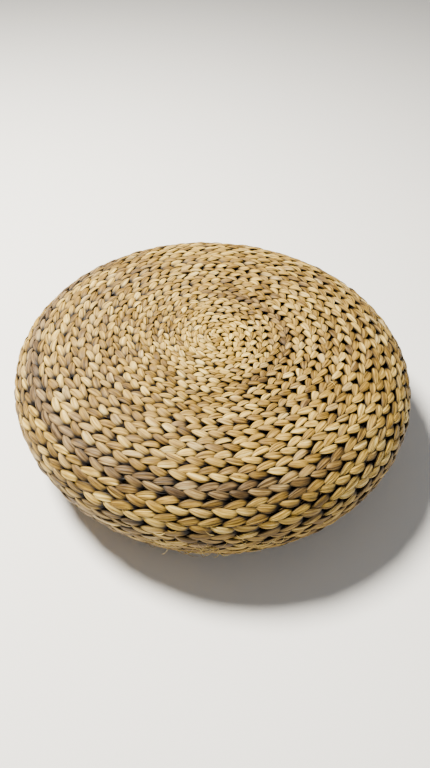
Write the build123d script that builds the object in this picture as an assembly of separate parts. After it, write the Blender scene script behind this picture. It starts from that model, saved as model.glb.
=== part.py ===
"""Round plaited seat pad: a leaf plait coiled into a shell round a lined core.

One coil starts in the middle of the top, runs out over the rim and down the
side, and ends in the middle of the base. It is made of plaits joined end to
end, and seam twine in the grooves on its inside holds each turn to the next.
Millimetres, +Z up, origin on the floor under the middle of the pad.
"""

from build123d import *
from math import cos, pi, radians, sin, sqrt
import os

import numpy as np

# ---- Driving dimensions ----
OUTER_RADIUS = 300.0
WIDEST_LEVEL = 115.0  # height of the widest circle above the outline's lowest level
CROWN_LEVEL = 197.0  # top level before the sitter's dish is taken off
DISH_DEPTH = 12.7
DISH_SHARE = 0.90  # the dish's radius, as a share of the outer radius
RIM_POWER = 5.05  # superellipse powers of the upper half
RIM_ROOT = 2.09
FLOOR_FLAT = 0.7  # how much of the base turns the weight presses flat

CROWN_PITCH = 16.5  # turn spacing of the fine plait in the middle of the top
MAIN_PITCH = 19.3
FINE_UNTIL = 60.0  # along the outline from the middle of the top
MAIN_FROM = 140.0
TURN_GAP = 0.5  # between neighbouring turns
SPLICE_GAP = 0.4  # between two plaits, along the coil
FIRST_TURN_RADIUS = 9.5  # the coil's ends: in the middle of the top
LAST_TURN_RADIUS = 12.0  # and in the middle of the base
START_ANGLE = 210.0  # degrees, from +X to where the coil starts

TWINE_RADIUS = 0.8
TWINE_DROP = 6.2  # from the turns' middle level, towards the core
TWINE_START = 0.6  # turns of the coil before the first stitch, and after the last
TWINE_JOIN = 0.02  # turns left between one length of twine and the next

LINING_CLEARANCE = 0.4
LINING_THICKNESS = 1.0
CORE_CLEARANCE = 0.3
BAND_TOP = 150.0  # seams of the lining's side band
BAND_BOTTOM = 48.0
SOFT_LAYER_FROM = 138.0
BASE_LAYER_TO = 42.0

# Plaits in coil order, with the turns of the coil that each one makes.
PLAITS = [
    ("crown_plait", 3.6),
    ("top_plait_1", 3.1),
    ("top_plait_2", 2.4),
    ("top_plait_3", 2.1),
    ("top_plait_4", 1.8),
    ("rim_plait_1", 1.6),
    ("rim_plait_2", 1.5),
    ("side_plait_1", 1.4),
    ("side_plait_2", 1.5),
    ("side_plait_3", 1.6),
    ("side_plait_4", 1.4),
    ("side_plait_5", 1.7),
    ("base_plait_1", 1.8),
    ("base_plait_2", 2.1),
    ("base_plait_3", 2.6),
    ("base_plait_4", None),  # the rest of the coil
]

# Lengths of seam twine, with the turns of the coil where each one ends.
TWINES = [("top_seam_twine", 13.0), ("side_seam_twine", 22.0), ("base_seam_twine", None)]

PLAIT_RADIUS = (MAIN_PITCH - TURN_GAP) / 2
OUTLINE_SAMPLES = 2400
SKIN_POINTS = 28  # spline points on the outline of the lining and the core
ARCS_PER_TURN = 8
HEADING_STEP = 0.002  # turns, to measure which way the coil runs
SLOPE_STEP = 0.5  # mm along the outline, to measure which way it faces
BETWEEN_TURNS = 0.5  # shift, in pitches, from a turn to the groove beside it
CUTTER_SIZE = 3 * OUTER_RADIUS  # a box wide enough to cut the whole pad


# ---- Outline ----
def outline():
    """Outer outline from the middle of the top to the middle of the base, as r and z."""
    r = OUTER_RADIUS * np.sin(np.linspace(0, pi / 2, OUTLINE_SAMPLES))
    share = np.clip(r / (DISH_SHARE * OUTER_RADIUS), 0, 1)
    rise = np.clip(1 - (r / OUTER_RADIUS) ** RIM_POWER, 0, 1) ** (1 / RIM_ROOT)
    z = WIDEST_LEVEL + (CROWN_LEVEL - WIDEST_LEVEL) * rise - DISH_DEPTH * (1 - share**2) ** 2
    turn = np.linspace(0, pi / 2, OUTLINE_SAMPLES // 2)[1:]
    flat_radius = OUTER_RADIUS - WIDEST_LEVEL
    corner_r = flat_radius + WIDEST_LEVEL * np.cos(turn)
    corner_z = WIDEST_LEVEL * (1 - np.sin(turn))
    flat_r = np.linspace(flat_radius, 0, OUTLINE_SAMPLES // 3)[1:]
    r = np.concatenate([r, corner_r, flat_r])
    return r, np.concatenate([z, corner_z, 0 * flat_r]) - FLOOR_FLAT


def inset(depth):
    """The outline moved inwards by depth: distance along it, r and z."""
    r, z = outline()
    dr, dz = np.gradient(r), np.gradient(z)
    size = np.hypot(dr, dz)
    r_in, z_in = r + depth * dz / size, z - depth * dr / size
    r_in[0] = r_in[-1] = 0
    along = np.concatenate([[0], np.cumsum(np.hypot(np.diff(r_in), np.diff(z_in)))])
    return along, r_in, z_in


# ---- Coil ----
TURN_LEVEL = inset(PLAIT_RADIUS)


def pitch_at(along):
    """Turn spacing: fine in the middle of the top, eased up to the main pitch."""
    t = np.clip((along - FINE_UNTIL) / (MAIN_FROM - FINE_UNTIL), 0, 1)
    return CROWN_PITCH + (MAIN_PITCH - CROWN_PITCH) * t * t * (3 - 2 * t)


def coil_law():
    """Turns made so far, against distance along the turns' middle level."""
    last = TURN_LEVEL[0][-1] - LAST_TURN_RADIUS
    along = np.linspace(FIRST_TURN_RADIUS, last, OUTLINE_SAMPLES)
    step = np.diff(along) / pitch_at((along[1:] + along[:-1]) / 2)
    return np.concatenate([[0], np.cumsum(step)]), along


TURNS, ALONG = coil_law()


def coil_point(turn, shift=0.0, drop=0.0):
    """The coil after so many turns, laid clockwise seen from above.

    shift moves it across the turns, as a share of the pitch, and drop moves it
    towards the core.
    """
    along = np.interp(turn + shift, TURNS, ALONG)
    before, after = along - SLOPE_STEP, along + SLOPE_STEP
    r, z = (np.interp(along, TURN_LEVEL[0], TURN_LEVEL[i]) for i in (1, 2))
    dr, dz = (np.interp(after, TURN_LEVEL[0], TURN_LEVEL[i])
              - np.interp(before, TURN_LEVEL[0], TURN_LEVEL[i]) for i in (1, 2))
    size = np.hypot(dr, dz)
    r, z = r + drop * dz / size, z - drop * dr / size
    angle = radians(START_ANGLE) - 2 * pi * turn
    return Vector(r * cos(angle), r * sin(angle), z)


def biarc(start, start_heading, end, end_heading):
    """Two tangent arcs from start to end that keep both headings."""
    span = end - start
    reach = span.dot(start_heading + end_heading)
    spread = 2 * (1 - start_heading.dot(end_heading))
    arm = (sqrt(reach**2 + spread * span.dot(span)) - reach) / spread
    first, second = start + start_heading * arm, end - end_heading * arm
    middle = (first + second) / 2
    return [
        TangentArc(start, middle, tangent=start_heading),
        TangentArc(middle, end, tangent=second - first),
    ]


def coil_tube(first, last, radius, shift=0.0, drop=0.0):
    """A round tube along the coil between two counts of turns, swept over tangent arcs."""
    turns = np.linspace(first, last, round((last - first) * ARCS_PER_TURN) + 1)
    points = [coil_point(t, shift, drop) for t in turns]
    ahead = [coil_point(t + HEADING_STEP, shift, drop) for t in turns]
    behind = [coil_point(t - HEADING_STEP, shift, drop) for t in turns]
    headings = [(a - b).normalized() for a, b in zip(ahead, behind)]
    arcs = []
    for i in range(len(turns) - 1):
        arcs += biarc(points[i], headings[i], points[i + 1], headings[i + 1])
    path = Wire(arcs)
    start = Plane(origin=path @ 0, z_dir=path % 0)
    return sweep(start * Circle(radius), path=path)


def plait(first, last):
    """One plait as a tube as fat as its first turn allows, pressed flat on the floor."""
    radius = (pitch_at(np.interp(first, TURNS, ALONG)) - TURN_GAP) / 2
    circle = 2 * pi * np.interp(np.interp(last, TURNS, ALONG), TURN_LEVEL[0], TURN_LEVEL[1])
    body = coil_tube(first, last - SPLICE_GAP / circle, radius)
    if body.bounding_box().min.Z < 0:
        body -= Pos(0, 0, -CUTTER_SIZE / 2) * Box(CUTTER_SIZE, CUTTER_SIZE, CUTTER_SIZE)
    return body


def plaits():
    """Every plait in coil order, under its name."""
    made = {}
    first = 0.0
    for name, count in PLAITS:
        last = first + count if count else TURNS[-1]
        made[name] = plait(first, last)
        first = last
    return made


def seam_twines():
    """Twine in the groove between each turn and the next, on the side of the core."""
    made = {}
    first = TWINE_START
    for name, last in TWINES:
        last = last or TURNS[-1] - 1 - TWINE_START
        made[name] = coil_tube(first, last, TWINE_RADIUS, BETWEEN_TURNS, TWINE_DROP)
        first = last + TWINE_JOIN
    return made


# ---- Core and lining ----
def filled(depth):
    """The solid of revolution inside the outline moved inwards by depth."""
    along, r, z = inset(depth)
    places = np.linspace(0, along[-1], SKIN_POINTS)
    points = [(np.interp(p, along, r), 0, np.interp(p, along, z)) for p in places]
    skin = Spline(points, tangents=[(1, 0, 0), (-1, 0, 0)])
    face = make_face([skin, Line(points[-1], points[0])])
    return revolve(face, Axis.Z)


def slab(low, high):
    """Everything between two levels, for cutting a layer out of a solid."""
    return Pos(0, 0, (low + high) / 2) * Box(CUTTER_SIZE, CUTTER_SIZE, high - low)


def layers(body, cuts, names):
    """body cut at the given levels, from the top down, under the given names."""
    levels = [CROWN_LEVEL, *cuts, -CROWN_LEVEL]
    made = {}
    for name, high, low in zip(names, levels[:-1], levels[1:]):
        made[name] = body & slab(low, high)
    return made


def lining():
    depth = 2 * PLAIT_RADIUS + LINING_CLEARANCE
    shell = filled(depth) - filled(depth + LINING_THICKNESS)
    names = ["lining_top_panel", "lining_side_band", "lining_base_panel"]
    return layers(shell, [BAND_TOP, BAND_BOTTOM], names)


def core():
    depth = 2 * PLAIT_RADIUS + LINING_CLEARANCE + LINING_THICKNESS + CORE_CLEARANCE
    names = ["soft_top_layer", "fibre_middle_layer", "firm_base_layer"]
    return layers(filled(depth), [SOFT_LAYER_FROM, BASE_LAYER_TO], names)


# ---- Output ----
os.makedirs("parts", exist_ok=True)
for name, body in {**plaits(), **seam_twines(), **lining(), **core()}.items():
    export_step(body, f"parts/{name}.step")
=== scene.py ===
# %% [markdown]
# # A round floor cushion of plaited leaf
# The cushion is a long three-strand plait, coiled from the middle of the top out over the rim, down the
# side and back to the middle of the base, round a lined core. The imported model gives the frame: its
# sizes, its places and the names of its parts. This script gives every part its finished surface.

# %% Load the frame
import math
import bpy
import numpy as np
from mathutils import Matrix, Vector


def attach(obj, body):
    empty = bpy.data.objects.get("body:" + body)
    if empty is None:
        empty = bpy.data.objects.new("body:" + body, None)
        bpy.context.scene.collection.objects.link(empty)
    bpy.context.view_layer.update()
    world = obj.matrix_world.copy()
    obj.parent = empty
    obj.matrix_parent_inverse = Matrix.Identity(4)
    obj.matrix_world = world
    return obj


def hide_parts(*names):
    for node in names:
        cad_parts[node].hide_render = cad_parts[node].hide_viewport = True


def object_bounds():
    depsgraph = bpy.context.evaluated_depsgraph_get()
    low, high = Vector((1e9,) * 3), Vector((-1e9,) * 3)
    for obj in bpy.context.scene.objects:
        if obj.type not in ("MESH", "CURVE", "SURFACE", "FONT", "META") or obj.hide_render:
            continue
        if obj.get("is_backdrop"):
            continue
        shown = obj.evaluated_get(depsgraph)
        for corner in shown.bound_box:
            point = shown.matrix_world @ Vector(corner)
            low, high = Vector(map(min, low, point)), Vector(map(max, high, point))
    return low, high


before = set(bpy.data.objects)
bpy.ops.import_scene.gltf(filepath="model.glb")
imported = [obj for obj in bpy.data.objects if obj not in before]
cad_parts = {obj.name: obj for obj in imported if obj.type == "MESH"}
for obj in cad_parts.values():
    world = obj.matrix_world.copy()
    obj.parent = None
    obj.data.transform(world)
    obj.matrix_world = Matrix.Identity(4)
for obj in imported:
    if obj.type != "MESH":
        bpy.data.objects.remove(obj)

CAD_LOW, CAD_HIGH = (list(corner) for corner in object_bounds())
print("CAD box", CAD_LOW, CAD_HIGH)

# %% [markdown]
# ## The outline
# A cushion like this is a body of revolution, so one outline in r and z sets its whole shape. The upper
# half is a superellipse, which is flatter than a circle on top and turns quickly at the rim, less a
# shallow dish where people sit. The lower half is a quarter circle down to a flat base. Drawing it from a
# formula keeps it smooth at any sampling, which a handful of measured points would not.

# %% Outline of the cushion
MM = 0.001
RADIUS = round((CAD_HIGH[0] - CAD_LOW[0]) / 2, 3)
SCALE = RADIUS / 0.300
WIDEST_LEVEL = 115 * MM * SCALE  # height of the widest circle, and radius of the lower corner
CROWN_LEVEL = 197 * MM * SCALE  # top level before the dish is taken off
DISH_DEPTH = 12.7 * MM * SCALE
DISH_SHARE = 0.90
RIM_POWER, RIM_ROOT = 5.05, 2.09
FLOOR_FLAT = 0.7 * MM


def outline(samples=4000):
    """Upper half: z = widest + height * (1 - (r/R)^p)^(1/q) - dish * (1 - t^2)^2.

    Lower half: a quarter circle, then straight in to the middle of the base."""
    r = RADIUS * np.sin(np.linspace(0, np.pi / 2, samples))
    share = np.clip(r / (DISH_SHARE * RADIUS), 0, 1)
    rise = np.clip(1 - (r / RADIUS) ** RIM_POWER, 0, 1) ** (1 / RIM_ROOT)
    z = WIDEST_LEVEL + (CROWN_LEVEL - WIDEST_LEVEL) * rise - DISH_DEPTH * (1 - share**2) ** 2
    turn = np.linspace(0, np.pi / 2, samples // 2)[1:]
    flat = RADIUS - WIDEST_LEVEL
    r = np.concatenate([r, flat + WIDEST_LEVEL * np.cos(turn), np.linspace(flat, 0, samples // 3)[1:]])
    z = np.concatenate([z, WIDEST_LEVEL * (1 - np.sin(turn)), np.zeros(samples // 3 - 1)])
    return r, z - FLOOR_FLAT


def inset(depth):
    """The outline moved inwards by depth along its normal: distance along it, r and z."""
    r, z = outline()
    dr, dz = np.gradient(r), np.gradient(z)
    size = np.hypot(dr, dz)
    r_in, z_in = r + depth * dz / size, z - depth * dr / size
    r_in[0] = r_in[-1] = 0
    along = np.concatenate([[0], np.cumsum(np.hypot(np.diff(r_in), np.diff(z_in)))])
    return along, r_in, z_in


TURN_DEPTH = 9.4 * MM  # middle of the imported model's turns, under the outline
LEVEL = inset(TURN_DEPTH)
print("outline", round(LEVEL[0][-1], 4), "m from the middle of the top to the middle of the base")

# %% [markdown]
# ## The coil
# The turns lie side by side, so the coil moves outwards along the outline by one plait's width in each
# turn. The maker starts with a finer plait in the middle of the top. Adding up 1 / pitch along the outline
# counts the turns, and reading that count backwards says where the coil is after any number of turns.

# %% Coil law
CROWN_PITCH, MAIN_PITCH = 16.5 * MM, 19.3 * MM
FINE_UNTIL, MAIN_FROM = 60 * MM, 140 * MM
FIRST_TURN, LAST_TURN = 9.5 * MM, 12 * MM  # the coil's ends, from the middle of top and base
START_ANGLE = np.radians(210)  # from +X to where the coil starts
CENTRE_DEPTH = 6.6 * MM  # the plait's own middle, under the outline


def smooth(x, low, high):
    """0 below low, 1 above high, and 3 t^2 - 2 t^3 between them."""
    t = np.clip((x - low) / (high - low), 0, 1)
    return t * t * (3 - 2 * t)


def pitch_at(along):
    """Width of one turn: fine in the middle of the top, eased up to the main pitch."""
    return CROWN_PITCH + (MAIN_PITCH - CROWN_PITCH) * smooth(along, FINE_UNTIL, MAIN_FROM)


ALONG = np.linspace(FIRST_TURN, LEVEL[0][-1] - LAST_TURN, 6000)
TURNS = np.concatenate([[0], np.cumsum(np.diff(ALONG) / pitch_at((ALONG[1:] + ALONG[:-1]) / 2))])
TUCK = 0.42  # turns that each end of the coil goes on for, tucked into the middle
ALONG = np.concatenate([[FIRST_TURN - TUCK * CROWN_PITCH], ALONG, [ALONG[-1] + TUCK * MAIN_PITCH]])
TURNS = np.concatenate([[-TUCK], TURNS, [TURNS[-1] + TUCK]])
print("turns", round(TURNS[-1] - TURNS[0], 2))


def coil_frame(turn):
    """Point, across, out and forward of the coil after `turn` turns, clockwise seen from above.

    across points to the next turn, out away from the core, and forward along the plait."""
    along = np.interp(turn, TURNS, ALONG)
    r, z = (np.interp(along, LEVEL[0], LEVEL[i]) for i in (1, 2))
    dr, dz = (np.interp(along + MM, LEVEL[0], LEVEL[i]) - np.interp(along - MM, LEVEL[0], LEVEL[i])
              for i in (1, 2))
    size = np.hypot(dr, dz)
    dr, dz = dr / size, dz / size
    lift = TURN_DEPTH - CENTRE_DEPTH
    r, z = r - lift * dz, z + lift * dr
    angle = START_ANGLE - 2 * np.pi * turn
    cos, sin, zero = np.cos(angle), np.sin(angle), np.zeros_like(turn)
    point = np.stack([r * cos, r * sin, z], axis=-1)
    across = np.stack([dr * cos, dr * sin, dz], axis=-1)
    out = np.stack([-dz * cos, -dz * sin, dr], axis=-1)
    forward = np.stack([sin, -cos, zero], axis=-1)
    return point, across, out, forward


# %% [markdown]
# ## The plait
# In a three-strand plait each strand goes from one edge to the other and back, over one neighbour and
# under the next. Each crossing shows one leaf, so the leaves make two rows that meet in a line of
# arrowheads. The three strands take turns: strand k is k leaves behind, and each of its leaves lasts for
# one and a half of the plait's. Counting leaves along the coil, and not metres, keeps the three in step
# while the leaves grow from short ones in the tight turns of the middle to long ones on the side.

# %% Plait phase along the coil
SPACING_MARKS = np.array([0, 60, 150, 200, 265, 310, 360, 720]) * MM * SCALE  # along the outline
SPACING_SIZES = np.array([12.5, 14, 18, 21.5, 25.5, 28, 30, 30]) * MM


def leaf_spacing(along):
    """Distance from one leaf to the next along the plait: short in the middle, long on the side."""
    return np.interp(along, SPACING_MARKS, SPACING_SIZES)


PHASE_TURN = np.linspace(TURNS[0], TURNS[-1], 40000)
STEPS = np.linalg.norm(np.diff(coil_frame(PHASE_TURN)[0], axis=0), axis=1)
STEPS_ALONG = np.interp((PHASE_TURN[1:] + PHASE_TURN[:-1]) / 2, TURNS, ALONG)
METRES = np.concatenate([[0], np.cumsum(STEPS)])  # metres of coil so far, at each of PHASE_TURN
LEAVES = np.concatenate([[0], np.cumsum(STEPS / leaf_spacing(STEPS_ALONG))])  # leaves so far
print("coil", round(METRES[-1], 2), "m long with", round(LEAVES[-1]), "leaves on each side")

# %% [markdown]
# ### One strand
# A strand is a bundle of dried leaf, folded into a soft flat roll about 10 mm wide. Where it shows, it
# fills one half of the plait: its inner edge runs along the middle, and its outer edge follows the side
# of the plait, then turns in and dives under the leaf that comes from the other side. It comes up again
# at the other edge, under its neighbour. So one leaf is a short table of sizes along its path, joined by
# rounded lines, and every leaf of every strand is that table with its own small random changes.

# %% Shape of one leaf
# The marks go from one edge of the plait, at 0, to the other, at 1, where the next leaf starts.
LEAF_MARKS = [0.00, 0.10, 0.20, 0.35, 0.45, 0.55, 0.65, 0.75, 0.85, 0.93]
LEAF_SHAPE = {  # as a share of half the plait's width; lean is in radians
    "shift": [0.67, 0.63, 0.57, 0.46, 0.37, 0.26, 0.11, -0.20, -0.54, -0.67],
    "lift": [0.05, 0.13, 0.19, 0.23, 0.23, 0.19, 0.06, -0.16, -0.20, -0.07],
    "wide": [0.49, 0.55, 0.59, 0.58, 0.51, 0.40, 0.26, 0.22, 0.29, 0.41],
    "thick": [0.21, 0.22, 0.23, 0.23, 0.22, 0.20, 0.16, 0.15, 0.16, 0.19],
    "lean": [0.26, 0.22, 0.17, 0.10, 0.04, -0.05, -0.14, -0.22, -0.26, -0.27],
}
SWAPS_SIDE = ("shift", "lean")  # these change sign from one leaf to the next
FINE_STEPS = 200
FINE = np.linspace(0, 1, FINE_STEPS + 1)
MEAN_STEPS = 17  # steps in the running mean that rounds the table
SPARE_STEPS = 40  # steps beyond each end, so that the mean runs on into the next leaf


def rounded(name):
    """Straight lines through the marks, then a running mean over a twelfth of the leaf, twice."""
    flip = -1 if name in SWAPS_SIDE else 1
    marks, sizes = np.array(LEAF_MARKS), np.array(LEAF_SHAPE[name])
    marks = np.concatenate([marks - 1, marks, marks + 1])
    sizes = np.concatenate([flip * sizes, sizes, flip * sizes])
    places = np.arange(-SPARE_STEPS, FINE_STEPS + 1 + SPARE_STEPS) / FINE_STEPS
    window = np.ones(MEAN_STEPS) / MEAN_STEPS
    fine = np.interp(places, marks, sizes)
    fine = np.convolve(np.convolve(fine, window, "same"), window, "same")
    return fine[SPARE_STEPS:-SPARE_STEPS]


LEAF_CURVE = {name: rounded(name) for name in LEAF_SHAPE}
print("leaf table", ", ".join(f"{name} {curve.min():.2f} to {curve.max():.2f}"
                              for name, curve in LEAF_CURVE.items()))

# %% Random changes of each leaf
RNG = np.random.default_rng(20)
LEAF_COUNT = int(2 * LEAVES[-1] / 3) + 12  # leaves of one strand, with a few to spare
SPREAD = {  # as a share of the size, but for lean in radians and for lengths in metres
    "wide": 0.11, "thick": 0.28, "lean": 0.16, "across": 0.6 * MM, "out": 0.7 * MM,
    "groove": 0.5,  # where a groove runs, as a share of the leaf's half width
    "cut": 1.3 * MM,  # how deep it is pressed in; below zero there is none
    "tone": 1.0, "grey": 1.0,
}
DRIFT_EVERY, DRIFT_SPREAD = 1.4, 0.09  # in leaves: some are pulled longer than others


def per_leaf(spread):
    """One random number for each leaf of each strand, -1 to 1 times spread."""
    return spread * RNG.uniform(-1, 1, (3, LEAF_COUNT))


JITTER = {name: per_leaf(spread) for name, spread in SPREAD.items()}
DRIFT_AT = np.arange(0, LEAVES[-1] + 2, DRIFT_EVERY)
DRIFT = RNG.uniform(-DRIFT_SPREAD, DRIFT_SPREAD, (3, len(DRIFT_AT)))
print("random changes for", 3 * LEAF_COUNT, "leaves:", ", ".join(JITTER))

# %% Strand surface
UPPER, LOWER = 11, 5  # points round a strand, on the side that shows and on the side that doesn't
SECTION = UPPER + LOWER
RING = np.concatenate([np.linspace(0, np.pi, UPPER + 1)[:-1],
                       np.pi + np.linspace(0, np.pi, LOWER + 1)[:-1]])
WIDE_POWER, THICK_POWER = 0.85, 0.75  # below 1 makes the section fuller than an ellipse
HIDDEN_FROM, HIDDEN_TO = 0.68, 0.88  # where a leaf is under the others
GROOVE_WIDTH = 0.16  # as a share of the leaf's half width
GROOVE_SIDE = 0.2  # grooves are pressed in where sin is above this
GROOVE_SHADE = 0.8  # painted shade in a groove, for each millimetre of its depth
EDGE_FROM = 0.62  # |cos| where the painted shade at a leaf's sides starts
SEEN_FROM = 0.2  # a leaf starts to show this far before it reaches the plait's edge


def strand(k, turn):
    """Surface of strand k over `turn`: points (sections, SECTION, 3) and its named values.

    Each leaf goes from one edge of the plait (x = 0) to the other (x = 1). Its section is the curve
    (w * |cos|^WIDE_POWER, h * |sin|^THICK_POWER) with a groove pressed into its upper side, turned by the
    lean and set at the path's point."""
    leaves = np.interp(turn, PHASE_TURN, LEAVES)
    along = np.interp(turn, TURNS, ALONG)
    half = pitch_at(along) / 2
    count = 2 * (leaves + k) / 3 + np.interp(leaves, DRIFT_AT, DRIFT[k])
    index = np.floor(count).astype(int)
    x = count - index
    sign = 1 - 2 * (index % 2)
    change = smooth(x, HIDDEN_FROM, HIDDEN_TO)
    value = {name: table[k][index] * (1 - change) + table[k][index + 1] * change
             for name, table in JITTER.items()}
    curve = {name: np.interp(x, FINE, table) for name, table in LEAF_CURVE.items()}
    wide = half * curve["wide"] * (1 + value["wide"])
    thick = half * curve["thick"] * (1 + value["thick"])
    lean = sign * curve["lean"] + value["lean"]
    shift = sign * half * curve["shift"] + value["across"]
    shows = np.sin(np.pi * np.clip(x / HIDDEN_FROM, 0, 1))
    lift = half * curve["lift"] + value["out"] * shows
    cos, sin = np.cos(RING), np.sin(RING)
    w = wide[:, None] * np.sign(cos) * np.abs(cos) ** WIDE_POWER
    h = thick[:, None] * np.sign(sin) * np.abs(sin) ** THICK_POWER
    place = (np.sign(cos) * np.abs(cos) ** WIDE_POWER)[None, :] - value["groove"][:, None]
    cut = np.maximum(value["cut"], 0)[:, None]
    groove = cut * np.exp(-(place / GROOVE_WIDTH) ** 2) * (sin > GROOVE_SIDE)
    h = h - groove
    a = shift[:, None] + w * np.cos(lean)[:, None] + h * np.sin(lean)[:, None]
    b = lift[:, None] - w * np.sin(lean)[:, None] + h * np.cos(lean)[:, None]
    point, across, out, _ = coil_frame(turn)
    surface = point[:, None] + a[..., None] * across[:, None] + b[..., None] * out[:, None]
    surface[..., 2] = np.maximum(surface[..., 2], 0.0)  # pressed flat where it lies on the floor
    value["depth"] = 0.5 - b / half[:, None]
    # Painted shade at the sides of the leaf and in its grooves
    value["edge"] = smooth(np.abs(cos), EDGE_FROM, 1.0)[None, :] + groove / MM * GROOVE_SHADE
    value["leaf"] = np.floor(count + SEEN_FROM)
    value["along"] = along
    value["around"] = np.broadcast_to(RING, b.shape)
    return surface, value


# %% [markdown]
# ### From arrays to meshes
# Every surface here is a grid of points, row after row, so its faces are made from the numbers of its rows
# and columns. A ring that turns to the left about the way the rows go gets faces that point outwards, and
# a surface whose ring turns the other way has its faces turned over.

# %% Mesh of a tube from a grid
def tube_faces(rows, columns, first=0):
    """Quads of a closed tube whose points are numbered row by row, as an array of four columns."""
    row, column = np.meshgrid(np.arange(rows - 1), np.arange(columns), indexing="ij")
    ahead = (column + 1) % columns
    corner = [row * columns + ahead, (row + 1) * columns + ahead,
              (row + 1) * columns + column, row * columns + column]
    return first + np.stack(corner, axis=-1).reshape(-1, 4)


def turned_over(quads):
    """The same quads seen from the other side, with the same diagonal from first to third corner."""
    return quads[:, [2, 1, 0, 3]]


def mesh_from(name, points, quads, caps=()):
    """A mesh from an array of points, an array of quads, and any end faces as arrays of indices."""
    loops = np.concatenate([quads.ravel(), *caps]).astype(np.int32)
    sizes = np.concatenate([np.full(len(quads), 4), [len(cap) for cap in caps]]).astype(np.int32)
    mesh = bpy.data.meshes.new(name)
    mesh.vertices.add(len(points))
    mesh.vertices.foreach_set("co", np.ascontiguousarray(points, dtype=np.float32).ravel())
    mesh.loops.add(len(loops))
    mesh.loops.foreach_set("vertex_index", loops)
    mesh.polygons.add(len(sizes))
    mesh.polygons.foreach_set("loop_start", np.concatenate([[0], np.cumsum(sizes)[:-1]]).astype(np.int32))
    mesh.polygons.foreach_set("use_smooth", np.ones(len(sizes), dtype=bool))
    mesh.update(calc_edges=True)
    mesh.validate()
    return mesh


def add_uv(mesh, name, uv):
    """A UV map from one (u, v) for each point."""
    corner = np.empty(len(mesh.loops), dtype=np.int32)
    mesh.loops.foreach_get("vertex_index", corner)
    layer = mesh.uv_layers.new(name=name)
    layer.data.foreach_set("uv", uv[corner].astype(np.float32).ravel())


def add_values(mesh, named):
    """Attributes that the materials read, from one number for each point."""
    for name, values in named.items():
        attribute = mesh.attributes.new(name, "FLOAT", "POINT")
        attribute.data.foreach_set("value", values.astype(np.float32))


def add_piece(name, mesh, material, slot, *nodes):
    """Puts a finished mesh in the scene as a piece of the cushion that stands for the named nodes."""
    mesh.materials.append(material)
    piece = bpy.data.objects.new(name, mesh)
    bpy.context.scene.collection.objects.link(piece)
    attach(piece, "root")
    if nodes:
        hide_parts(*nodes)
    return piece


# %% Colour and node helpers
def linear(hex_colour):
    """sRGB hex, such as "C8A870", to linear RGBA."""
    srgb = np.array([int(hex_colour[i:i + 2], 16) / 255 for i in (0, 2, 4)])
    rgb = np.where(srgb <= 0.04045, srgb / 12.92, ((srgb + 0.055) / 1.055) ** 2.4)
    return (*rgb.tolist(), 1.0)


def add_node(tree, kind, settings=None, feeds=None):
    """Adds a node. `settings` are its properties, or values of its sockets by name or number, and `feeds`
    are the output sockets that are linked into its inputs, by name or number."""
    node = tree.nodes.new(kind)
    for key, value in (settings or {}).items():
        if isinstance(key, int) or key in node.inputs:
            node.inputs[key].default_value = value
        else:
            setattr(node, key, value)
    for key, socket in (feeds or {}).items():
        tree.links.new(socket, node.inputs[key])
    return node


def new_material(name, roughness, specular=0.3):
    """A material with its node tree and its shader."""
    material = bpy.data.materials.new(name)
    material.use_nodes = True
    shader = material.node_tree.nodes["Principled BSDF"]
    shader.inputs["Roughness"].default_value = roughness
    shader.inputs["Specular IOR Level"].default_value = specular
    return material, material.node_tree, shader
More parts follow.
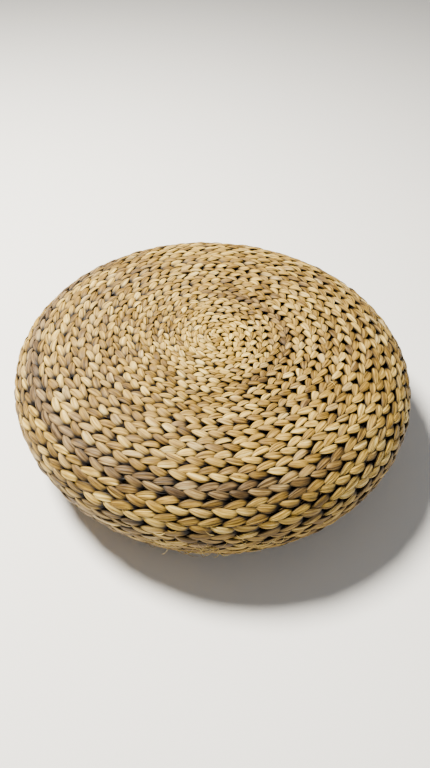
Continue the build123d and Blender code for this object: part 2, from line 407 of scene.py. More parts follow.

# %% [markdown]
# ## Dried leaf
# The plait is dried water-plant leaf: a matt, slightly waxy straw with fine fibres along its length and a
# few creases where the flat leaf was folded into a roll. Bundles differ in colour from cream and straw to
# ochre, and older ones are grey-brown, so each leaf of the mesh carries a tone and an age, and the material
# turns them into colour. Where a leaf lies deep between the others, along its sides and in its grooves, the
# colour is darkened as painted shade.
#
# The pattern's scales are one over its size in metres: fibres are 0.4 mm wide and 12 mm long, folds 2.4 mm
# and 42 mm, stains 7 mm and 17 mm.

# %% Leaf material
def leaf_material():
    material, tree, shader = new_material("dried_leaf_plaited_matt", 0.58, 0.3)
    uv = add_node(tree, "ShaderNodeUVMap", {"uv_map": "leaf"}).outputs["UV"]
    tone, age, deep = (add_node(tree, "ShaderNodeAttribute", {"attribute_name": name}).outputs["Fac"]
                       for name in ("tone", "age", "deep"))

    def stretched(round_scale, along_scale, detail):
        """Noise on the leaf: u is round the strand and v along it, in metres."""
        place = add_node(tree, "ShaderNodeMapping", {"Scale": (round_scale, along_scale, 1.0)},
                         {"Vector": uv})
        noise = add_node(tree, "ShaderNodeTexNoise", {"Scale": 1.0, "Detail": detail},
                         {"Vector": place.outputs["Vector"]})
        return noise.outputs["Fac"]

    fibre = stretched(2400.0, 80.0, 3.0)
    fold = stretched(420.0, 24.0, 2.0)
    stain = stretched(150.0, 60.0, 2.0)

    # The tone of the leaf, moved by its folds, fibres and stains, picks a colour between ochre and cream.
    # The subtracted share takes away their mean, so that they leave the mean tone as it is.
    crease_tone = add_node(tree, "ShaderNodeMath", {"operation": "MULTIPLY_ADD", 1: 1.5, 2: -0.75},
                           {0: fold})
    streak = add_node(tree, "ShaderNodeMath", {"operation": "MULTIPLY_ADD", 1: 0.9},
                      {0: fibre, 2: crease_tone.outputs[0]})
    blotch = add_node(tree, "ShaderNodeMath", {"operation": "MULTIPLY_ADD", 1: 0.4},
                      {0: stain, 2: streak.outputs[0]})
    mixed = add_node(tree, "ShaderNodeMath", {"operation": "ADD"}, {0: tone, 1: blotch.outputs[0]})
    centred = add_node(tree, "ShaderNodeMath", {"operation": "SUBTRACT", 1: 0.44}, {0: mixed.outputs[0]})
    place = centred.outputs[0]
    straw = add_node(tree, "ShaderNodeValToRGB", {}, {"Fac": place})
    ramp(straw, [(0.00, "4C350A"), (0.30, "80611A"), (0.55, "A9862E"), (0.80, "CEAA4A"), (1.00, "ECD07A")])
    weathered = add_node(tree, "ShaderNodeValToRGB", {}, {"Fac": place})
    ramp(weathered, [(0.00, "3C2B16"), (0.35, "6A5230"), (0.65, "947B4E"), (1.00, "CDB985")])
    leaf = add_node(tree, "ShaderNodeMix", {"data_type": "RGBA"},
                    {"Factor": age, 6: straw.outputs["Color"], 7: weathered.outputs["Color"]})
    # Painted shade: the colour is multiplied towards dark brown as far as the deep value says.
    shade = {"data_type": "RGBA", "blend_type": "MULTIPLY", 7: linear("221608")}
    shaded = add_node(tree, "ShaderNodeMix", shade, {"Factor": deep, 6: leaf.outputs[2]})
    tree.links.new(shaded.outputs[2], shader.inputs["Base Color"])

    # Noise stays mostly within a third of its range, so creases are up to 0.8 mm deep and fibres 0.1 mm.
    # Both are pressed in, so their noise counts downwards.
    crease = add_node(tree, "ShaderNodeBump", {"invert": True, "Strength": 1.0, "Distance": 0.0024},
                      {"Height": fold})
    grain = add_node(tree, "ShaderNodeBump", {"invert": True, "Strength": 0.7, "Distance": 0.00035},
                     {"Height": fibre, "Normal": crease.outputs["Normal"]})
    tree.links.new(grain.outputs["Normal"], shader.inputs["Normal"])
    return material


def ramp(node, stops):
    """Sets a colour ramp to (place, sRGB hex) stops."""
    elements = node.color_ramp.elements
    while len(elements) < len(stops):
        elements.new(0.5)
    for element, (place, colour) in zip(elements, stops):
        element.position = place
        element.color = linear(colour)


LEAF = leaf_material()

# %% [markdown]
# ## Batches of leaf, and painted shade low on the side
# A weaver works through one bundle of leaf after another, so colour changes along the coil more than
# across it. Three batches stand out here: a greyer turn just inside the rim, a golden one outside it,
# and a darker one near the middle. The table's last row is painted shade: it makes the lower side darker
# and greyer all the way round.

# %% Tone and age of each leaf
BATCHES_AND_PAINTED_SHADE = [  # where along the outline, how wide, direction it faces, its share of the turn, tone, age
    (266 * MM, 11 * MM, 215, 0.55, -0.22, 0.75),
    (292 * MM, 14 * MM, 250, 0.60, 0.02, -0.35),
    (100 * MM, 9 * MM, 10, 0.45, -0.30, 0.25),
    (30 * MM, 40 * MM, 0, 1.00, 0.16, -0.20),
    (190 * MM, 25 * MM, 200, 0.35, -0.03, 0.22),
    # painted shade: the lower side, all the way round, darker and greyer
    (400 * MM, 62 * MM, 0, 1.00, -0.24, 0.16),
]


MEAN_TONE, TONE_SPREAD = 0.31, 0.27
MEAN_AGE, AGE_SPREAD = 0.22, 0.55
LEAST_GREY = -0.4
BATCH_BLEND = 0.3  # how gently a batch starts and ends round the turn


def tone_and_age(value, turn):
    """Tone and age, 0 to 1, from each leaf's own chance, the batches near it and the painted shade low on
    the side.
    """
    tone = MEAN_TONE + TONE_SPREAD * value["tone"]
    age = MEAN_AGE + AGE_SPREAD * np.maximum(value["grey"], LEAST_GREY) ** 3
    angle = START_ANGLE - 2 * np.pi * turn
    for place, spread, facing, share, tone_change, age_change in BATCHES_AND_PAINTED_SHADE:
        near = np.exp(-((value["along"] - place) / spread) ** 2)
        start = -np.cos(np.pi * (1 - share)) - BATCH_BLEND
        side = smooth(np.cos(angle - np.radians(facing)), start, BATCH_BLEND)
        side = 1.0 if share == 1.0 else side
        tone = tone + tone_change * near * side
        age = age + age_change * near * side
    return np.clip(tone, 0, 1), np.clip(age, 0, 1)


print("batches", len(BATCHES_AND_PAINTED_SHADE), "mean tone", MEAN_TONE, "mean age", MEAN_AGE)

# %% [markdown]
# ## The plait, length by length
# Each named length of plait is one piece: three strands that run side by side and cross. The strands go on
# into the next length at the same phase, so no seam shows where two lengths meet.

# %% Make every length of plait
PLAITS = [("crown_plait", 3.6), ("top_plait_1", 3.1), ("top_plait_2", 2.4), ("top_plait_3", 2.1),
          ("top_plait_4", 1.8), ("rim_plait_1", 1.6), ("rim_plait_2", 1.5), ("side_plait_1", 1.4),
          ("side_plait_2", 1.5), ("side_plait_3", 1.6), ("side_plait_4", 1.4), ("side_plait_5", 1.7),
          ("base_plait_1", 1.8), ("base_plait_2", 2.1), ("base_plait_3", 2.6), ("base_plait_4", None)]


ROW_LENGTH = 2.0 * MM  # distance between the sections of a strand
FEWEST_ROWS, MOST_ROWS = 8, 14  # limits for the sections from one leaf to the next
LEAF_ROWS = np.clip(leaf_spacing(STEPS_ALONG) / ROW_LENGTH, FEWEST_ROWS, MOST_ROWS)
PHASE_ROWS = np.concatenate([[0], np.cumsum(LEAF_ROWS * np.diff(LEAVES))])
TUCK_ROWS, TUCK_SIZE = 0.6, 0.8  # a length goes on into the next one, drawn in to this share
GIRTH = 26 * MM  # round a strand
STRAND_OFFSET, LEAF_OFFSET = 3.7, 0.05  # metres that the pattern moves from strand to strand, leaf to leaf
DEEP_FROM, DEEP_TO = 0.10, 0.42  # depth where shade starts and is full, as a share of the half width
EDGE_SHADE = 0.85


def tuck_end(surface):
    """Draws the last section in a little, so that it lies inside the length of plait that follows."""
    middle = surface[-1].mean(axis=0)
    surface[-1] = middle + TUCK_SIZE * (surface[-1] - middle)


def plait_mesh(name, first, last):
    """Three strands from turn `first` to turn `last`, with more sections where the leaves are longer."""
    low, high = np.interp([first, last], PHASE_TURN, PHASE_ROWS)
    rows = np.linspace(low, high, int(high - low) + 2)
    rows = np.append(rows, min(high + TUCK_ROWS, PHASE_ROWS[-1]))
    turn = np.interp(rows, PHASE_ROWS, PHASE_TURN)
    points, quads, caps, uv, named = [], [], [], [], {"tone": [], "age": [], "deep": []}
    for k in range(3):
        surface, value = strand(k, turn)
        tuck_end(surface)
        rows, start = len(turn), sum(len(p) for p in points)
        tone, age = tone_and_age(value, turn)
        points.append(surface.reshape(-1, 3))
        quads.append(tube_faces(rows, SECTION, start))
        caps.append(start + np.arange(SECTION)[::-1])
        caps.append(start + (rows - 1) * SECTION + np.arange(SECTION))
        metres = np.interp(turn, PHASE_TURN, METRES)
        v = (metres + STRAND_OFFSET * k)[:, None] + 0 * value["around"]
        u = value["around"] / (2 * np.pi) * GIRTH + LEAF_OFFSET * value["leaf"][:, None]
        uv.append(np.stack([u, v], axis=-1).reshape(-1, 2))
        named["tone"].append(np.repeat(tone, SECTION))
        named["age"].append(np.repeat(age, SECTION))
        # Painted shade where the leaf lies deep between the others, at its sides and in its grooves
        deep = np.maximum(smooth(value["depth"], DEEP_FROM, DEEP_TO), EDGE_SHADE * value["edge"])
        named["deep"].append(deep.ravel())
    mesh = mesh_from(name, np.concatenate(points), np.concatenate(quads), caps)
    add_uv(mesh, "leaf", np.concatenate(uv))
    add_values(mesh, {key: np.concatenate(parts) for key, parts in named.items()})
    return mesh


_first, _faces = TURNS[0], 0
for _name, _count in PLAITS:
    _last = max(_first, 0) + _count if _count else TURNS[-1]
    _mesh = plait_mesh(f"{_name}_leaf", _first, _last)
    _faces += 2 * len(_mesh.polygons)
    add_piece(f"{_name}_leaf", _mesh, LEAF, "plait_leaf", _name)
    _first = _last
print("plait", len(PLAITS), "lengths,", _faces, "triangles")

# %% [markdown]
# ### The coil's two ends
# In the middle of the top and of the base the plait's end is folded over itself, which closes the hole
# that a coil can't fill. Each is three short leaves laid across the middle, one over the other.

# %% Folded ends
FOLD_REACH, FOLD_WIDTH, FOLD_THICK = 8.5 * MM, 4.6 * MM, 1.9 * MM  # half sizes of one leaf
FOLD_ROWS = 15
FOLD_FACINGS = np.radians((15, 78, 141))
FOLD_TONES = (0.35, 0.55, 0.45)
FOLD_AGE = 0.1
LAYER_RISE = 0.7 * MM  # from one leaf to the one over it
FOLD_DROP = 3.6 * MM  # how far the ends of the lowest leaf bend down
CROWN_FOLD_RISE = 4.6 * MM  # middle of the lowest leaf, above the turns' middle level
BASE_FOLD_LEVEL = 2.4 * MM


def folded_end(name, level, up):
    """Three leaves across the middle: z = level + up * (rise - drop t^2), half width w * (1 - t^4)^0.5."""
    points, quads, caps, uv = [], [], [], []
    t = np.linspace(-0.995, 0.995, FOLD_ROWS)  # short of 1, where a leaf would have no width
    for layer, facing in enumerate(FOLD_FACINGS):
        ahead = np.array([np.cos(facing), np.sin(facing), 0])
        beside = np.array([-np.sin(facing), np.cos(facing), 0])
        middle = ahead * (FOLD_REACH * t)[:, None]
        drop = (FOLD_DROP + LAYER_RISE * layer) * t**2
        middle[:, 2] = level + up * (LAYER_RISE * layer - drop)
        grow = np.sqrt(1 - t**4)[:, None]
        side = FOLD_WIDTH * grow * np.cos(RING)
        rise = FOLD_THICK * grow * np.sin(RING)
        surface = middle[:, None] + side[..., None] * beside + rise[..., None] * np.array([0, 0, 1.0])
        surface[..., 2] = np.maximum(surface[..., 2], 0.0)
        first = layer * FOLD_ROWS * SECTION
        last = first + (FOLD_ROWS - 1) * SECTION
        points.append(surface.reshape(-1, 3))
        quads.append(tube_faces(FOLD_ROWS, SECTION, first))
        caps += [first + np.arange(SECTION)[::-1], last + np.arange(SECTION)]
        round_leaf = np.tile(RING / (2 * np.pi) * GIRTH, FOLD_ROWS)
        uv.append(np.stack([round_leaf, np.repeat(FOLD_REACH * t, SECTION)], axis=-1))
    mesh = mesh_from(name, np.concatenate(points), np.concatenate(quads), caps)
    add_uv(mesh, "leaf", np.concatenate(uv))
    # Painted shade at the sides of each folded leaf, as on the plait
    edge = np.tile(smooth(np.abs(np.cos(RING)), EDGE_FROM, 1.0), len(FOLD_TONES) * FOLD_ROWS)
    tone = np.repeat(FOLD_TONES, FOLD_ROWS * SECTION)
    add_values(mesh, {"tone": tone, "age": FOLD_AGE + 0 * tone, "deep": edge * EDGE_SHADE})
    return mesh


_top = LEVEL[2][0] + CROWN_FOLD_RISE
add_piece("crown_start_fold", folded_end("crown_start_fold", _top, 1), LEAF, "plait_leaf", "crown_plait")
add_piece("base_end_fold", folded_end("base_end_fold", BASE_FOLD_LEVEL, -1), LEAF, "plait_leaf",
          "base_plait_4")
print("folded ends at", round(float(_top), 4), "m and", BASE_FOLD_LEVEL, "m")

# %% [markdown]
# ## Seam twine
# The turns are sewn together with jute twine, laid in the groove behind each pair of turns. Its stitches
# lean from one turn to the next and back, so its path is the coil half a turn's width over, with a small
# swing from side to side. It is 1.6 mm thick, and its two-ply twist, one turn in about 8 mm, is drawn by
# the material.

# %% Seam twine
TWINES = [("top_seam_twine", 13.0), ("side_seam_twine", 22.0), ("base_seam_twine", None)]
TWINE_RADIUS, TWINE_DROP = 0.8 * MM, 6.1 * MM  # its size, and how far it lies under the plait's middle
STITCH, SWING = 24 * MM, 1.6 * MM  # length of a stitch, and how far it swings to each side
TWINE_ENDS = 0.6  # turns of the coil before the first stitch and after the last
TWINE_JOIN = 0.02  # turns left between one length of twine and the next
TWINE_ROWS, TWINE_SIDES = 220, 6  # sections in a metre, and points round one


def twine_mesh(name, first, last):
    """A round tube in the groove: across = half a pitch + SWING * sin(2 pi s / STITCH)."""
    low, high = np.interp([first, last], PHASE_TURN, METRES)
    metres = np.linspace(low, high, int((high - low) * TWINE_ROWS))
    turn = np.interp(metres, METRES, PHASE_TURN)
    point, across, out, _ = coil_frame(turn)
    half = pitch_at(np.interp(turn, TURNS, ALONG)) / 2
    over = half + SWING * np.sin(2 * np.pi * metres / STITCH)
    ring = np.linspace(0, 2 * np.pi, TWINE_SIDES, endpoint=False)
    a = over[:, None] + TWINE_RADIUS * np.cos(ring)
    b = -TWINE_DROP + TWINE_RADIUS * np.sin(ring) + 0 * over[:, None]
    surface = point[:, None] + a[..., None] * across[:, None] + b[..., None] * out[:, None]
    caps = [np.arange(TWINE_SIDES)[::-1], (len(turn) - 1) * TWINE_SIDES + np.arange(TWINE_SIDES)]
    mesh = mesh_from(name, surface.reshape(-1, 3), tube_faces(len(turn), TWINE_SIDES), caps)
    round_twine = np.tile(np.arange(TWINE_SIDES) / TWINE_SIDES, len(turn))
    add_uv(mesh, "twine", np.stack([round_twine, np.repeat(metres, TWINE_SIDES)], axis=-1))
    return mesh


def twine_material():
    """Jute: a dull tan yarn. Slanted stripes across the twine give its two plies and their shade."""
    material, tree, shader = new_material("jute_twine_two_ply", 0.85, 0.2)
    uv = add_node(tree, "ShaderNodeUVMap", {"uv_map": "twine"}).outputs["UV"]
    place = add_node(tree, "ShaderNodeMapping", {"Scale": (2.0, 160.0, 1.0)}, {"Vector": uv})
    stripe = add_node(tree, "ShaderNodeTexWave",
                      {"bands_direction": "DIAGONAL", "Scale": 0.5, "Distortion": 0.6},
                      {"Vector": place.outputs["Vector"]})
    colour = add_node(tree, "ShaderNodeValToRGB", {}, {"Fac": stripe.outputs["Fac"]})
    ramp(colour, [(0.0, "4A381F"), (0.5, "8A6C40"), (1.0, "B89A66")])
    tree.links.new(colour.outputs["Color"], shader.inputs["Base Color"])
    bump = add_node(tree, "ShaderNodeBump", {"invert": True, "Strength": 0.8, "Distance": 0.0004},
                    {"Height": stripe.outputs["Fac"]})
    tree.links.new(bump.outputs["Normal"], shader.inputs["Normal"])
    return material


TWINE = twine_material()
_first = TWINE_ENDS
for _name, _last in TWINES:
    _last = _last or TURNS[-1] - TUCK - 1 - TWINE_ENDS
    _mesh = twine_mesh(f"{_name}_jute", _first, _last)
    add_piece(f"{_name}_jute", _mesh, TWINE, "seam_twine", _name)
    print(_name, len(_mesh.polygons) * 2, "triangles")
    _first = _last + TWINE_JOIN

# %% [markdown]
# ## Lining and core
# Under the plait a cotton bag holds the stuffing: a round top and base panel and a band between them.
# Inside it lie a soft foam top, a pressed coconut fibre middle and a firm foam base. All of them are
# bodies of revolution, so each is one closed profile in r and z, turned about the cushion's middle. The
# cloth gets small gathers that grow towards its seams, where the stitches pull it in.

# %% Turned bodies
SPOKES = 180  # points round a turned body
LINING_DEPTH, LINING_THICKNESS = 19.2 * MM, 1.0 * MM  # under the outline
CORE_DEPTH = 20.6 * MM
BAND_TOP, BAND_BOTTOM = 150 * MM, 48 * MM  # levels of the lining's two seams
SOFT_FROM, BASE_TO = 138 * MM, 42 * MM  # levels between the layers of the core
ABOVE, BELOW = 1.0, -1.0  # levels past the cushion, for a body that has no seam on that side
SEAM_GAP = 0.3 * MM
SKIN_SPACING = 5 * MM  # between the points of a profile
FEWEST_POINTS = 4


def skin(depth, high, low):
    """The outline `depth` inside, between two levels, from the top down, as evenly spaced r and z."""
    along, r, z = inset(depth)
    widest = int(np.argmax(r))
    inside = (z <= high) & (z >= low)
    if high > z[0]:
        inside[:widest] = z[:widest] >= low  # the dish rises from the middle before it falls to the rim
    first, last = along[inside][0], along[inside][-1]
    even = np.linspace(first, last, max(int((last - first) / SKIN_SPACING), FEWEST_POINTS))
    return np.interp(even, along, r), np.interp(even, along, z)


def lathe(name, r, z, closed, ripple=None):
    """Turns a profile about +Z: point = (r cos a, r sin a, z), moved outwards by ripple(a, row).

    A closed profile makes a ring. An open one starts and ends on the axis, and its two end points
    become single points with a fan of triangles."""
    angle = np.linspace(0, 2 * np.pi, SPOKES, endpoint=False)
    body = slice(None) if closed else slice(1, -1)
    rows = len(r[body])
    swell = ripple(angle, rows) if ripple else np.zeros((rows, SPOKES))
    radius = r[body][:, None] + swell
    level = z[body][:, None] + 0 * radius
    points = np.stack([radius * np.cos(angle), radius * np.sin(angle), level], axis=-1).reshape(-1, 3)
    quads = turned_over(tube_faces(rows, SPOKES))
    step = np.arange(SPOKES)
    ahead = (step + 1) % SPOKES
    last = (rows - 1) * SPOKES
    if closed:
        joint = np.stack([last + step, step, ahead, last + ahead], axis=-1)
        return mesh_from(name, points, np.concatenate([quads, joint]))
    top, bottom = len(points), len(points) + 1
    points = np.concatenate([points, [[0, 0, z[0]], [0, 0, z[-1]]]])
    fans = [np.array([top, a, b]) for a, b in zip(step, ahead)]
    fans += [np.array([bottom, last + b, last + a]) for a, b in zip(step, ahead)]
    return mesh_from(name, points, quads, fans)


GATHER_SIZE = 0.25 * MM
GATHER_COUNTS = (29, 47, 71)  # waves round a seam
GATHER_REACH, BAND_REACH = 0.12, 0.1  # how far gathers reach from the lower and the upper seam


def gathers(both_seams):
    """Small folds in the cloth: the mean of three waves round it, strongest at the seam rows.

    A profile goes out and back, so its lower seam is at its middle row, and its upper seam at row 0."""
    chance = np.random.default_rng(7)
    waves = [(count, chance.uniform(0, 2 * np.pi), chance.uniform(0.4, 1)) for count in GATHER_COUNTS]

    def ripple(angle, rows):
        folds = sum(share * np.sin(count * angle + start) for count, start, share in waves) / len(waves)
        row = np.linspace(0, 1, rows)[:, None]
        near = np.exp(-((row - 0.5) / GATHER_REACH) ** 2)
        if both_seams:
            near = near + np.exp(-(row / BAND_REACH) ** 2)
        return GATHER_SIZE * folds[None, :] * near
    return ripple


def shell_profile(high, low):
    """Profile of a cloth panel: out along its upper skin, then back along its lower one."""
    outer = np.stack(skin(LINING_DEPTH, high, low))
    inner = np.stack(skin(LINING_DEPTH + LINING_THICKNESS, high, low))
    if outer[0, -1] < MM:  # the base panel ends on the axis, so its upper skin is the inner one
        return np.concatenate([inner[:, ::-1], outer], axis=1)
    return np.concatenate([outer, inner[:, ::-1]], axis=1)


FLAT_POINTS = 24  # on a layer's flat top or base


def core_profile(high, low):
    """Profile of a layer of the core: the flat top if it has one, its side, and its flat base."""
    r, z = skin(CORE_DEPTH, high, low)
    if r[0] > MM:
        flat = np.linspace(0, r[0], FLAT_POINTS)[:-1]
        r, z = np.concatenate([flat, r]), np.concatenate([0 * flat + z[0], z])
    if r[-1] > MM:
        flat = np.linspace(r[-1], 0, FLAT_POINTS)[1:]
        r, z = np.concatenate([r, flat]), np.concatenate([z, 0 * flat + z[-1]])
    return r, z


print("lining", LINING_DEPTH, "m under the outline, core", CORE_DEPTH, "m")

# %% [markdown]
# ### Cotton, foam and fibre
# The lining is plain woven cotton dyed dark brown, so that it doesn't show between the leaves. Foam is a
# pale sponge with pores near 1 mm. Coconut fibre is a mat of stiff brown hairs 0.3 to 0.5 mm thick, held
# by latex. The patterns read object coordinates, in metres, so noise has a scale of one over the size of
# a pore or a hair. A wave repeats every 0.31 / scale, which makes a pair of threads 2 mm wide.

# %% Lining and core materials
def woven_cotton():
    """Plain weave: two waves across each other, multiplied, give its colour and its bump."""
    material, tree, shader = new_material("cotton_plain_weave_dyed_dark", 0.9, 0.2)
    place = add_node(tree, "ShaderNodeTexCoord").outputs["Object"]
    threads = []
    for direction in ("X", "Y"):
        thread = {"bands_direction": direction, "Scale": 160.0, "Distortion": 0.4, "Detail": 1.0}
        threads.append(add_node(tree, "ShaderNodeTexWave", thread, {"Vector": place}).outputs["Fac"])
    weave = add_node(tree, "ShaderNodeMath", {"operation": "MULTIPLY"}, {0: threads[0], 1: threads[1]})
    colour = add_node(tree, "ShaderNodeValToRGB", {}, {"Fac": weave.outputs[0]})
    ramp(colour, [(0.0, "1C130B"), (1.0, "3A2A1A")])
    bump = add_node(tree, "ShaderNodeBump", {"Strength": 0.5, "Distance": 0.0004},
                    {"Height": weave.outputs[0]})
    tree.links.new(colour.outputs["Color"], shader.inputs["Base Color"])
    tree.links.new(bump.outputs["Normal"], shader.inputs["Normal"])
    return material


def grainy(name, scale, low, high, roughness, depth):
    """Foam or fibre mat: noise at the size of a pore or a hair, in two colours, with a bump."""
    material, tree, shader = new_material(name, roughness, 0.2)
    place = add_node(tree, "ShaderNodeTexCoord").outputs["Object"]
    noise = add_node(tree, "ShaderNodeTexNoise", {"Scale": scale, "Detail": 3.0, "Roughness": 0.7},
                     {"Vector": place})
    colour = add_node(tree, "ShaderNodeValToRGB", {}, {"Fac": noise.outputs["Fac"]})
    ramp(colour, [(0.3, low), (0.7, high)])
    bump = add_node(tree, "ShaderNodeBump", {"Strength": 0.8, "Distance": depth},
                    {"Height": noise.outputs["Fac"]})
    tree.links.new(colour.outputs["Color"], shader.inputs["Base Color"])
    tree.links.new(bump.outputs["Normal"], shader.inputs["Normal"])
    return material


COTTON = woven_cotton()
SOFT_FOAM = grainy("polyether_foam_soft_cut", 900.0, "D8D0B8", "F0EADA", 0.95, 0.0008)
FIRM_FOAM = grainy("polyether_foam_firm_cut", 1300.0, "C8C2B0", "E2DCCC", 0.95, 0.0005)
COIR = grainy("coconut_fibre_latex_bonded", 2200.0, "4A3018", "9A7446", 0.9, 0.0012)

print("materials", COTTON.name, SOFT_FOAM.name, FIRM_FOAM.name, COIR.name)

# %% [markdown]
# ### The cloth panels and the core's layers
# Each panel is cut flat and pulled tight over the layer of the core that it lies on. A round panel's flat
# size is twice the length of its profile, and the band's is its width times its way round.

# %% Lining panels
PANELS = [("lining_top_panel", ABOVE, BAND_TOP + SEAM_GAP, "soft_top_layer_foam"),
          ("lining_side_band", BAND_TOP, BAND_BOTTOM, "fibre_middle_layer_coir"),
          ("lining_base_panel", BAND_BOTTOM - SEAM_GAP, BELOW, "firm_base_layer_foam")]


def skin_size(r, z):
    """Length of a profile and the area it sweeps round the middle: the sum of 2 pi r ds."""
    ds = np.hypot(np.diff(r), np.diff(z))
    return ds.sum(), (2 * np.pi * (r[1:] + r[:-1]) / 2 * ds).sum()


for _name, _high, _low, _rest in PANELS:
    _r, _z = shell_profile(_high, _low)
    _band = _name == "lining_side_band"
    _mesh = lathe(f"{_name}_cotton", _r, _z, _band, gathers(_band))
    _piece = add_piece(f"{_name}_cotton", _mesh, COTTON, "lining_cloth", _name)
    _length, _area = skin_size(*skin(LINING_DEPTH, _high, _low))
    _around = 2 * np.pi * _r.max()
    if _band:
        _flat, _area = (_length, _around), min(_area, _length * _around)
    else:
        _flat = (2 * _length, 2 * _length)
    print(_name, "flat", [round(x, 3) for x in _flat], "m, area", round(_area, 3), "m2")

# %% Layers of the core
LAYERS = [  # name, what it is made of, its levels, material, slot, how full it is
    ("soft_top_layer", "foam", ABOVE, SOFT_FROM + SEAM_GAP, SOFT_FOAM, "soft_foam", 0.9),
    ("fibre_middle_layer", "coir", SOFT_FROM, BASE_TO, COIR, "pressed_fibre", 1.0),
    ("firm_base_layer", "foam", BASE_TO - SEAM_GAP, BELOW, FIRM_FOAM, "firm_foam", 1.0),
]
for _name, _kind, _high, _low, _material, _slot, _fill in LAYERS:
    _r, _z = core_profile(_high, _low)
    _mesh = lathe(f"{_name}_{_kind}", _r, _z, False)
    _piece = add_piece(f"{_name}_{_kind}", _mesh, _material, _slot, _name)
    print(_name, "r", round(_r.max(), 3), "z", round(_z.min(), 3), "to", round(_z.max(), 3))

# %% [markdown]
# ## Frayed fibres
# Dried leaf splits, so a few loose ends stick out, most of them low on the front, and here and there one
# stands up from the plait. Each is a tapered hair, 0.6 to 1.2 mm thick at its root and up to 28 mm long,
# that leaves the plait flat and curls a little. They are one piece, because they belong to the leaf.

# %% Frayed fibres
FRAYS = [  # how many, where along the outline, spread, facing (degrees), spread, longest, palest tone
    (60, 343 * MM, 16 * MM, 266, 9, 28 * MM, 1.0),
    (34, 338 * MM, 15 * MM, 281, 9, 22 * MM, 1.0),
    (18, 372 * MM, 25 * MM, 250, 20, 18 * MM, 0.8),
    (40, 300 * MM, 120 * MM, 240, 180, 14 * MM, 0.8),
    (16, 130 * MM, 120 * MM, 90, 180, 12 * MM, 0.8),
    (2, 249 * MM, 2 * MM, 279.5, 0.5, 11 * MM, 0.1),
]
FRAY_RNG = np.random.default_rng(11)
FRAY_ROWS, FRAY_SIDES = 9, 5
FRAY_ROOT = 2.6 * MM  # root of a hair, out from the plait's middle
FRAY_LOWEST = 1.0 * MM  # above the floor
FRAY_TAPER = 0.75  # how much of its thickness a hair loses
FRAY_AGE = 0.3


def fray_mesh():
    """Hairs along p(t) = start + forward * L t + across * bend t^2 + out * rise sin(0.8 pi t)."""
    points, quads, caps, tone = [], [], [], []
    ring = np.linspace(0, 2 * np.pi, FRAY_SIDES, endpoint=False)
    t = np.linspace(0, 1, FRAY_ROWS)
    for count, along, along_spread, facing, facing_spread, longest, palest in FRAYS:
        for _ in range(count):
            place = along + along_spread * FRAY_RNG.uniform(-1, 1)
            angle = np.radians(facing + facing_spread * FRAY_RNG.uniform(-1, 1))
            facing_turn = (START_ANGLE - angle) / (2 * np.pi)
            turn = np.round(np.interp(place, ALONG, TURNS) - facing_turn) + facing_turn
            point, across, out, forward = (v[0] for v in coil_frame(np.array([turn])))
            forward = forward * FRAY_RNG.uniform(0.3, 1) + across * FRAY_RNG.uniform(-0.7, 1)
            length = longest * FRAY_RNG.uniform(0.4, 1)
            bend = length * FRAY_RNG.uniform(-0.6, 0.6)
            rise = length * FRAY_RNG.uniform(0.05, 0.30)
            way = FRAY_RNG.choice([-1, 1])
            over = pitch_at(place) * FRAY_RNG.uniform(-0.5, 0.5)
            root = point + across * over + out * FRAY_ROOT
            curl = rise * np.sin(np.pi * 0.8 * t)
            line = (root + way * forward * (length * t)[:, None]
                    + across * (bend * t**2)[:, None] + out * curl[:, None])
            line[:, 2] = np.maximum(line[:, 2], FRAY_LOWEST)
            thick = FRAY_RNG.uniform(0.3, 0.6) * MM * (1 - FRAY_TAPER * t)
            circle = (across * np.cos(ring)[:, None] + out * np.sin(ring)[:, None])[None]
            first = len(points) * FRAY_ROWS * FRAY_SIDES
            last = first + (FRAY_ROWS - 1) * FRAY_SIDES
            points.append((line[:, None] + thick[:, None, None] * circle).reshape(-1, 3))
            faces = tube_faces(FRAY_ROWS, FRAY_SIDES, first)
            ends = [first + np.arange(FRAY_SIDES)[::-1], last + np.arange(FRAY_SIDES)]
            quads.append(faces if way > 0 else turned_over(faces))  # a hair can run back along the plait
            caps += ends if way > 0 else [end[::-1] for end in ends]
            tone.append(np.full(FRAY_ROWS * FRAY_SIDES, palest * FRAY_RNG.uniform(0.3, 1.0)))
    points, tone = np.concatenate(points), np.concatenate(tone)
    mesh = mesh_from("frayed_leaf_ends", points, np.concatenate(quads), caps)
    add_values(mesh, {"tone": tone, "age": FRAY_AGE + 0 * tone, "deep": 0 * tone})
    add_uv(mesh, "leaf", points[:, :2])
    return mesh


add_piece("frayed_leaf_ends", fray_mesh(), LEAF, "plait_leaf")
print("frayed ends", sum(row[0] for row in FRAYS))

# %% [markdown]
# ## Floor and light
# The cushion stands on a pale matt floor that is wide enough to have no visible edge near it. One warm
# light high on the left and a little behind does most of the work: it rakes across the leaves, so that
# each one has a bright side and a dark one, and being small it throws a shadow with a fairly sharp edge.
# A large, weak fill light and an even sky keep the shaded side readable.

# %% Floor and light
FLOOR_REACH = 6.0
LIGHT_AIM = (0, 0, 0.1)  # the middle of the cushion
SKY_STRENGTH = 0.20


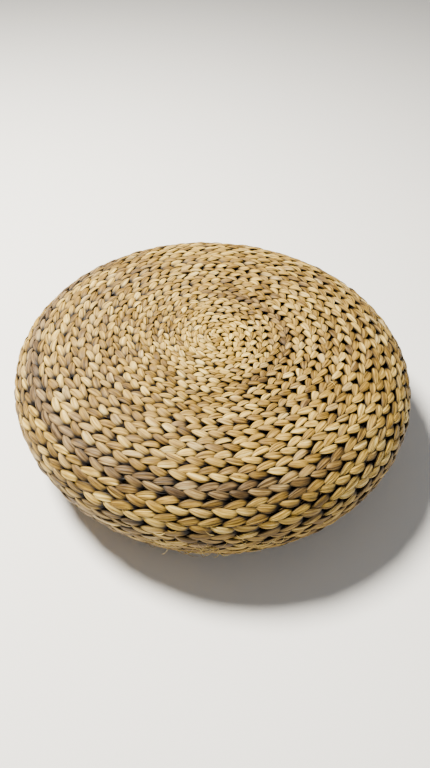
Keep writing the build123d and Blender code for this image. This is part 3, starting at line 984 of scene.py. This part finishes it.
def floor():
    """A flat square that is staged, because it isn't part of the cushion."""
    corners = [(-FLOOR_REACH, -FLOOR_REACH, 0), (FLOOR_REACH, -FLOOR_REACH, 0),
               (FLOOR_REACH, FLOOR_REACH, 0), (-FLOOR_REACH, FLOOR_REACH, 0)]
    mesh = bpy.data.meshes.new("floor")
    mesh.from_pydata(corners, [], [(0, 1, 2, 3)])
    material, _, shader = new_material("studio_floor_pale_matt", 0.9, 0.1)
    shader.inputs["Base Color"].default_value = linear("F4F4F3")
    mesh.materials.append(material)
    plane = bpy.data.objects.new("floor", mesh)
    bpy.context.scene.collection.objects.link(plane)
    plane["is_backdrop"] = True


def area_light(name, place, size, watts, colour="FFFFFF"):
    """A round lamp that shines from its place at the middle of the cushion."""
    light = bpy.data.lights.new(name, "AREA")
    light.shape, light.size, light.energy = "DISK", size, watts
    light.color = linear(colour)[:3]
    holder = bpy.data.objects.new(name, light)
    holder.location = place
    direction = np.array(LIGHT_AIM) - np.array(place)
    flat = math.hypot(direction[0], direction[1])
    tilt = math.atan2(flat, -direction[2])
    holder.rotation_euler = (tilt, 0, math.atan2(-direction[0], direction[1]))
    bpy.context.scene.collection.objects.link(holder)
    print(name, size, "m wide,", watts, "W, at", place)


floor()
area_light("key_light", (-1.0, 0.35, 2.1), 0.6, 235, "FFF8EA")
area_light("fill_light", (1.2, -1.6, 1.6), 2.2, 6)
world = bpy.data.worlds.new("studio")
world.use_nodes = True
sky = world.node_tree.nodes["Background"].inputs
sky["Color"].default_value = linear("FFFFFF")
sky["Strength"].default_value = SKY_STRENGTH
bpy.context.scene.world = world

# %% [markdown]
# ## Camera
# The camera stands close and looks down at the cushion at 45 degrees, which gives its far rim a smaller
# curve than its near one. A turn about the viewing line and a shift of the lens set its last few degrees.

# %% Camera
ELEVATION, ROLL = 0.7936, 0.0572  # radians
DISTANCE, AIM_HEIGHT = 0.9276, 0.096  # metres
SENSOR, LENS = 36.0, 27.65625  # millimetres
SHIFT_X, SHIFT_Y = 0.0019270833, -0.01046875  # as a share of the height of the view

camera_data = bpy.data.cameras.new("camera")
camera_data.sensor_fit = "VERTICAL"
camera_data.sensor_height = SENSOR
camera_data.lens = LENS
camera_data.shift_x, camera_data.shift_y = SHIFT_X, SHIFT_Y
camera = bpy.data.objects.new("camera", camera_data)
camera.location = (0, -DISTANCE * math.cos(ELEVATION), AIM_HEIGHT + DISTANCE * math.sin(ELEVATION))
look_down = Matrix.Rotation(math.pi / 2 - ELEVATION, 3, "X")
camera.rotation_euler = (look_down @ Matrix.Rotation(ROLL, 3, "Z")).to_euler()
bpy.context.scene.collection.objects.link(camera)
bpy.context.scene.camera = camera
print("camera", DISTANCE, "m away,", round(math.degrees(ELEVATION), 1), "degrees up")
